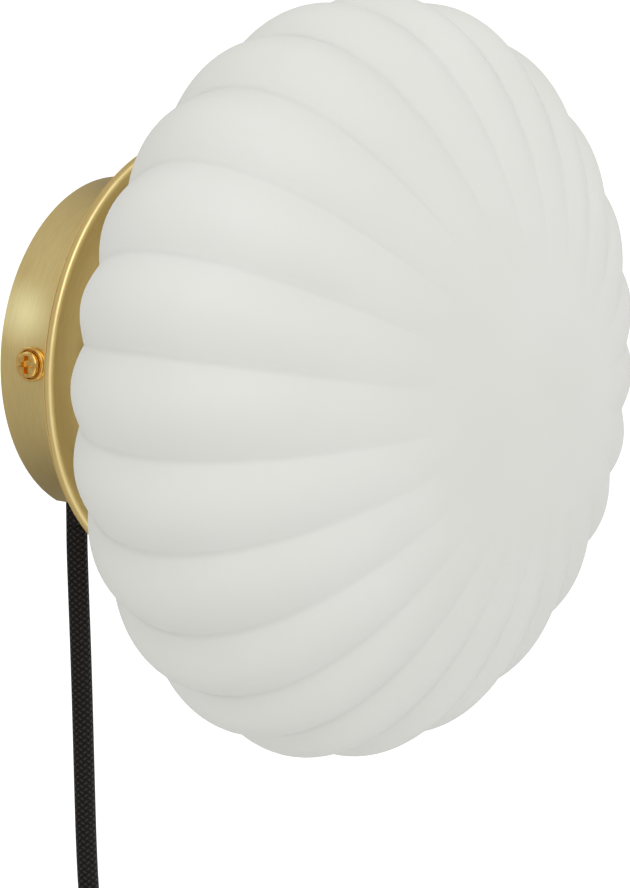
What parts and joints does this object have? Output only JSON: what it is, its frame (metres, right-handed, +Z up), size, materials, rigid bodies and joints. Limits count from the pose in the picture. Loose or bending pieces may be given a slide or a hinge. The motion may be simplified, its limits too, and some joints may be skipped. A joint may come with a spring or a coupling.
{
  "type": "wall lamp",
  "caption": "Wall lamp: a ribbed opal glass shade on a brass dish and round canopy, with a corded switch and plug.",
  "frame": {"origin": "centre of the wall bracket's back face, on the wall", "axes": "+Z up, +Y into the wall, so the lamp stands out along -Y; +X to the right of a person who faces the lamp"},
  "size_m": [0.2176, 0.1534, 0.5376],
  "materials": {
    "satin_brass": "brushed satin, lacquered",
    "polished_brass": "polished",
    "opal_glass": "opal white, satin acid-etched outside",
    "clear_glass": "clear",
    "zinc_steel": "zinc plated",
    "spring_steel": "nickel plated spring sheet",
    "nickel": "nickel plated, smooth",
    "contact_brass": "plain stamped brass",
    "white_moulding": "thermoset, semi-gloss",
    "steatite": "unglazed ceramic",
    "ivory_nylon": "moulded nylon",
    "black_plastic": "fine moulded texture",
    "black_rubber": "soft moulded",
    "grey_rubber": "silicone rubber",
    "black_textile": "braided textile over the cable",
    "brown_insulation": "wire insulation",
    "blue_insulation": "wire insulation",
    "black_glass": "vitrified insulator",
    "phosphor": "yellow coating on light filaments"
  },
  "bodies": {
    "lamp_base": {"wall_bracket": "zinc_steel", "canopy_drum": "satin_brass", "shade_dish": "satin_brass", "neck_gasket": "grey_rubber", "spring_gallery": "spring_steel", "hollow_nipple": "contact_brass", "lock_nut": "zinc_steel", "toothed_washer": "spring_steel", "holder_cap": "white_moulding", "holder_sleeve": "white_moulding", "holder_insert": "steatite", "screw_shell": "contact_brass", "centre_contact": "contact_brass", "terminal_block": "ivory_nylon", "terminal_barrels": "contact_brass", "terminal_screws": "zinc_steel", "block_screw": "zinc_steel", "live_wire": "brown_insulation", "neutral_wire": "blue_insulation", "cord_clamp": "ivory_nylon", "clamp_screw": "zinc_steel", "cord_bush": "black_rubber", "cord_inner": "black_textile", "cord_drop": "black_textile", "switch_base": "black_plastic", "switch_cover": "black_plastic", "switch_pin": "zinc_steel", "switch_terminals": "contact_brass", "switch_screws": "zinc_steel", "switch_reliefs": "black_rubber", "cord_tail": "black_textile", "cord_coil": "black_textile", "coil_tie": "black_rubber", "cord_end": "black_textile", "plug_body": "black_plastic", "plug_relief": "black_rubber", "plug_pins": "nickel", "plug_pin_sleeves": "black_plastic"},
    "shade": {"glass_shade": "opal_glass"},
    "bulb_tip": {"bulb_contact": "nickel"},
    "bulb": {"bulb_insulator": "black_glass", "bulb_cap": "nickel", "bulb_glass": "clear_glass", "bulb_stem": "clear_glass", "bulb_filaments": "phosphor"},
    "left_washer": {"cup_washer_left": "polished_brass"},
    "left_screw": {"side_screw_left": "polished_brass"},
    "right_washer": {"cup_washer_right": "polished_brass"},
    "right_screw": {"side_screw_right": "polished_brass"},
    "rocker": {"switch_rocker": "black_plastic"}
  },
  "joints": [
    {"name": "shade_pull", "type": "slide", "parent": "lamp_base", "child": "shade", "axis": [0, -1, 0], "range_m": [0, 0.14]},
    {"name": "bulb_travel", "type": "slide", "parent": "lamp_base", "child": "bulb_tip", "axis": [0, -1, 0], "range_m": [0, 0.0141]},
    {"name": "bulb_turn", "type": "hinge", "parent": "bulb_tip", "child": "bulb", "pos_m": [0, -0.09, 0], "axis": [0, -1, 0], "range_deg": [0, 1800]},
    {"name": "left_washer_travel", "type": "slide", "parent": "lamp_base", "child": "left_washer", "axis": [-0.9982, 0, 0.0593], "range_m": [0, 0.0056]},
    {"name": "left_screw_turn", "type": "hinge", "parent": "left_washer", "child": "left_screw", "pos_m": [-0.05191, -0.012, 0.00308], "axis": [-0.9982, 0, 0.0593], "range_deg": [0, 2880]},
    {"name": "right_washer_travel", "type": "slide", "parent": "lamp_base", "child": "right_washer", "axis": [0.9982, 0, -0.0593], "range_m": [0, 0.0056]},
    {"name": "right_screw_turn", "type": "hinge", "parent": "right_washer", "child": "right_screw", "pos_m": [0.05191, -0.012, -0.00308], "axis": [0.9982, 0, -0.0593], "range_deg": [0, 2880]},
    {"name": "rocker_tilt", "type": "hinge", "parent": "lamp_base", "child": "rocker", "pos_m": [-0.0217, -0.0111, -0.227], "axis": [1, 0, 0], "range_deg": [0, 14]}
  ],
  "couplings": [
    {"joint": "bulb_turn", "follows": "bulb_travel", "rad_per_m": 2228},
    {"joint": "left_screw_turn", "follows": "left_washer_travel", "rad_per_m": 8975.9},
    {"joint": "right_screw_turn", "follows": "right_washer_travel", "rad_per_m": 8975.9}
  ]
}
